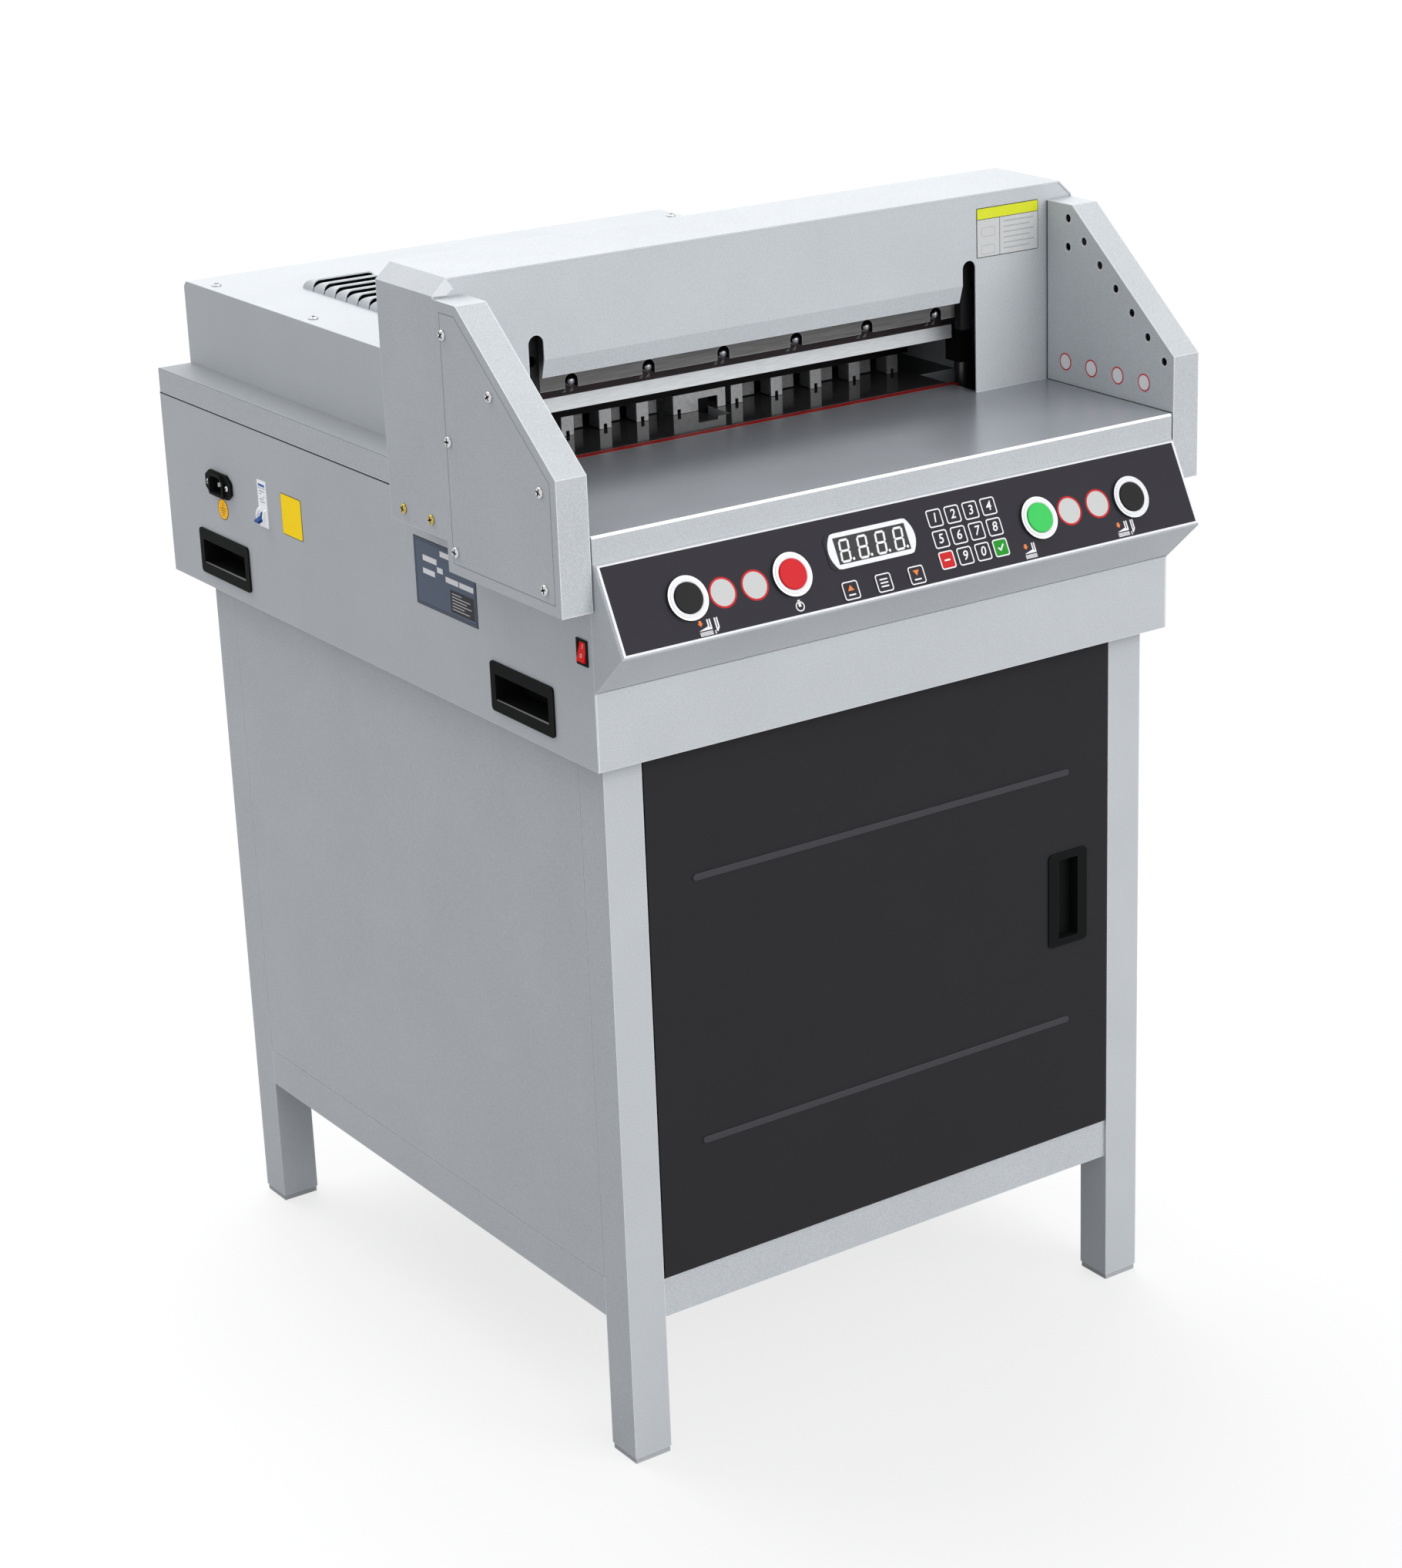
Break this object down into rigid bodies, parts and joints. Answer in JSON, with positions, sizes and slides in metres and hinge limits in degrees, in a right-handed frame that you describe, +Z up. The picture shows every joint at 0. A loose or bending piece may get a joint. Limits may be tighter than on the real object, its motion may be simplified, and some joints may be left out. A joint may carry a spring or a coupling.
{
  "type": "electric paper cutter",
  "caption": "Electric guillotine paper cutter on a cabinet stand, with a front table between side guards, powered knife and clamp, motor back gauge and sloping keypad console.",
  "frame": {"origin": "middle of the machine's footprint, on the floor", "axes": "+Z up, +Y from the operator's side to the back, +X to the operator's right"},
  "size_m": [0.7194, 0.8604, 1.1056],
  "materials": {
    "painted_steel": "satin light grey paint with a fine speckle",
    "dark_paint": "satin dark grey paint",
    "black_plastic": "moulded black",
    "white_plastic": "moulded white",
    "overlay_film": "dark printed film",
    "chrome_ring": "polished",
    "black_cap": "glossy",
    "red_cap": "glossy",
    "green_cap": "glossy",
    "blue_cap": "glossy",
    "board": "printed circuit board",
    "table_steel": "fine satin",
    "stick_red": "solid red plastic",
    "bright_steel": "ground",
    "knife_steel": "machined",
    "clamp_metal": "bright machined",
    "gauge_metal": "dark anodised",
    "cast_housing": "painted casting",
    "brass_screw": "polished",
    "rubber_feet": "matt",
    "belt_rubber": "toothed belt"
  },
  "bodies": {
    "machine": {"front_legs": "painted_steel", "rear_legs": "painted_steel", "foot_pads": "rubber_feet", "stand_rails": "painted_steel", "cabinet_sides": "painted_steel", "cabinet_back": "painted_steel", "cabinet_floor": "painted_steel", "door_pivot_pins": "bright_steel", "base_plate": "dark_paint", "side_panel_left": "painted_steel", "side_panel_right": "painted_steel", "front_apron": "painted_steel", "rear_panel": "painted_steel", "grip_cups": "black_plastic", "console_shell": "painted_steel", "console_overlay": "overlay_film", "button_bezels": "chrome_ring", "rocker_frame": "black_plastic", "power_inlet": "black_plastic", "breaker_body": "white_plastic", "control_board": "board", "machine_table": "table_steel", "cutting_stick": "stick_red", "guard_left": "painted_steel", "guard_right": "painted_steel", "guard_covers": "painted_steel", "panel_screws": "chrome_ring", "head_cover": "painted_steel", "column_screws": "brass_screw", "upper_front_panel": "painted_steel", "rear_hood": "painted_steel", "side_frames": "dark_paint", "head_beam": "dark_paint", "guide_pins": "bright_steel", "knife_gearbox": "cast_housing", "knife_motor": "dark_paint", "clamp_belt": "belt_rubber", "clamp_motor": "dark_paint", "gauge_guide_rods": "bright_steel", "screw_bearings": "gauge_metal", "gauge_motor": "dark_paint"},
    "door": {"door": "dark_paint", "door_handle": "black_plastic"},
    "knife": {"knife_carrier": "knife_steel", "blade": "bright_steel", "blade_bolts": "knife_steel", "pull_rod": "dark_paint"},
    "crank": {"crank_disc": "knife_steel"},
    "clamp": {"clamp_beam": "clamp_metal"},
    "left_clamp_screw": {"clamp_screw_left": "bright_steel"},
    "right_clamp_screw": {"clamp_screw_right": "bright_steel"},
    "gauge": {"gauge_carriage": "gauge_metal", "gauge_fence": "bright_steel"},
    "gauge_screw": {"lead_screw": "bright_steel"},
    "left_cut": {"left_cut_button": "black_cap"},
    "power": {"power_button": "red_cap"},
    "reset": {"reset_button": "green_cap"},
    "right_cut": {"right_cut_button": "black_cap"},
    "rocker": {"rocker_paddle": "red_cap"},
    "breaker": {"breaker_lever": "blue_cap"}
  },
  "joints": [
    {"name": "door_hinge", "type": "hinge", "parent": "machine", "child": "door", "pos_m": [-0.2645, -0.3615, 0.43975], "axis": [0, 0, 1], "range_deg": [-105, 0]},
    {"name": "knife_slide", "type": "slide", "parent": "machine", "child": "knife", "axis": [-0.2009, 0, -0.9796], "range_m": [0, 0.05972]},
    {"name": "crank_turn", "type": "hinge", "parent": "machine", "child": "crank", "pos_m": [0.25, -0.1715, 0.79], "axis": [0, 1, 0], "range_deg": [0, 180]},
    {"name": "clamp_slide", "type": "slide", "parent": "machine", "child": "clamp", "axis": [0, 0, -1], "range_m": [0, 0.045]},
    {"name": "left_screw_turn", "type": "hinge", "parent": "machine", "child": "left_clamp_screw", "pos_m": [-0.268, -0.1415, 0.94], "axis": [0, 0, 1], "range_deg": [0, 3240]},
    {"name": "right_screw_turn", "type": "hinge", "parent": "machine", "child": "right_clamp_screw", "pos_m": [0.268, -0.1415, 0.94], "axis": [0, 0, 1], "range_deg": [0, 3240]},
    {"name": "gauge_slide", "type": "slide", "parent": "machine", "child": "gauge", "axis": [0, 1, 0], "range_m": [-0.035, 0.378]},
    {"name": "gauge_screw_turn", "type": "hinge", "parent": "machine", "child": "gauge_screw", "pos_m": [0, 0, 0.84], "axis": [0, -1, 0], "range_deg": [-1260, 13608]},
    {"name": "left_cut_press", "type": "slide", "parent": "machine", "child": "left_cut", "axis": [0, 0.8872, -0.4614], "range_m": [0, 0.003], "stiffness_N_per_m": 400, "springref_m": -0.002},
    {"name": "power_press", "type": "slide", "parent": "machine", "child": "power", "axis": [0, 0.8872, -0.4614], "range_m": [0, 0.003], "stiffness_N_per_m": 400, "springref_m": -0.002},
    {"name": "reset_press", "type": "slide", "parent": "machine", "child": "reset", "axis": [0, 0.8872, -0.4614], "range_m": [0, 0.003], "stiffness_N_per_m": 400, "springref_m": -0.002},
    {"name": "right_cut_press", "type": "slide", "parent": "machine", "child": "right_cut", "axis": [0, 0.8872, -0.4614], "range_m": [0, 0.003], "stiffness_N_per_m": 400, "springref_m": -0.002},
    {"name": "rocker_turn", "type": "hinge", "parent": "machine", "child": "rocker", "pos_m": [-0.324, -0.3676, 0.8053], "axis": [0, -1, 0], "range_deg": [0, 26]},
    {"name": "breaker_turn", "type": "hinge", "parent": "machine", "child": "breaker", "pos_m": [-0.322, 0.217, 0.8016], "axis": [0, 1, 0], "range_deg": [0, 44]}
  ],
  "couplings": [
    {"joint": "crank_turn", "follows": "knife_slide", "rad_per_m": 52.607},
    {"joint": "left_screw_turn", "follows": "clamp_slide", "rad_per_m": 1256.6},
    {"joint": "right_screw_turn", "follows": "clamp_slide", "rad_per_m": 1256.6},
    {"joint": "gauge_screw_turn", "follows": "gauge_slide", "rad_per_m": 628.32}
  ]
}
